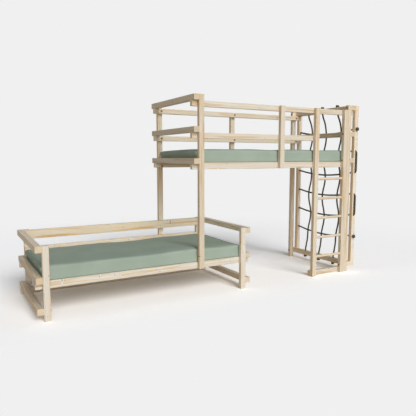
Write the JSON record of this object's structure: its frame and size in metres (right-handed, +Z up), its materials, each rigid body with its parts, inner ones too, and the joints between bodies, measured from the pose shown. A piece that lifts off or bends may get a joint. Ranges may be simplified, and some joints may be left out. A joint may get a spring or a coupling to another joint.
{
  "type": "bunk bed",
  "caption": "Softwood bunk bed with the high bed set over one end of the low bed, a rung ladder, guard rails, a laced rope climbing net and slatted bases with mattresses.",
  "frame": {"origin": "on the floor, under the middle of the timber frame's outline", "axes": "+X along the beds towards the net, +Y from the open front to the wall side, +Z up"},
  "size_m": [3.723, 1.103, 2.032],
  "materials": {
    "frame_wood": "planed softwood, oiled",
    "slat_wood": "sawn softwood, raw",
    "rung_wood": "turned hardwood, oiled",
    "mattress_cover": "woven cotton cover",
    "net_rope": "laid rope, dull",
    "capped_bolts": "brown cap on a steel shank"
  },
  "bodies": {
    "root": {"cross_rail_bolts": "capped_bolts", "front_guard_post": "frame_wood", "front_mid_guard_rail": "frame_wood", "front_top_guard_rail": "frame_wood", "ladder_foot_beam": "frame_wood", "ladder_left_post": "frame_wood", "ladder_right_post": "frame_wood", "ladder_rung_1": "rung_wood", "ladder_rung_2": "rung_wood", "ladder_rung_3": "rung_wood", "ladder_rung_4": "rung_wood", "ladder_rung_5": "rung_wood", "lower_back_board": "frame_wood", "lower_front_ledger": "slat_wood", "lower_front_left_post": "frame_wood", "lower_front_right_post": "frame_wood", "lower_front_side_rail": "frame_wood", "lower_left_bottom_cross_rail": "frame_wood", "lower_left_mid_cross_rail": "frame_wood", "lower_left_top_cross_rail": "frame_wood", "lower_mattress": "mattress_cover", "lower_rear_ledger": "slat_wood", "lower_rear_left_post": "frame_wood", "lower_rear_low_rail": "frame_wood", "lower_rear_right_post": "frame_wood", "lower_rear_side_rail": "frame_wood", "lower_rear_wall_rail": "frame_wood", "lower_right_bottom_cross_rail": "frame_wood", "lower_right_mid_cross_rail": "frame_wood", "lower_right_top_cross_rail": "frame_wood", "lower_slats": "slat_wood", "net_bottom_rail": "frame_wood", "net_front_post": "frame_wood", "net_knots": "net_rope", "net_level_rope": "net_rope", "net_rear_post": "frame_wood", "net_upright_rope_front": "net_rope", "net_upright_rope_middle": "net_rope", "net_upright_rope_rear": "net_rope", "rail_bolts": "capped_bolts", "rear_guard_post": "frame_wood", "rear_mid_guard_rail": "frame_wood", "rear_top_guard_rail": "frame_wood", "upper_front_ledger": "slat_wood", "upper_front_left_post": "frame_wood", "upper_front_right_post": "frame_wood", "upper_front_side_rail": "frame_wood", "upper_left_bed_cross_rail": "frame_wood", "upper_left_mid_cross_rail": "frame_wood", "upper_left_top_cross_rail": "frame_wood", "upper_mattress": "mattress_cover", "upper_rear_ledger": "slat_wood", "upper_rear_left_post": "frame_wood", "upper_rear_right_post": "frame_wood", "upper_rear_side_rail": "frame_wood", "upper_right_bed_cross_rail": "frame_wood", "upper_right_mid_cross_rail": "frame_wood", "upper_right_top_cross_rail": "frame_wood", "upper_slats": "slat_wood"}
  },
  "joints": []
}
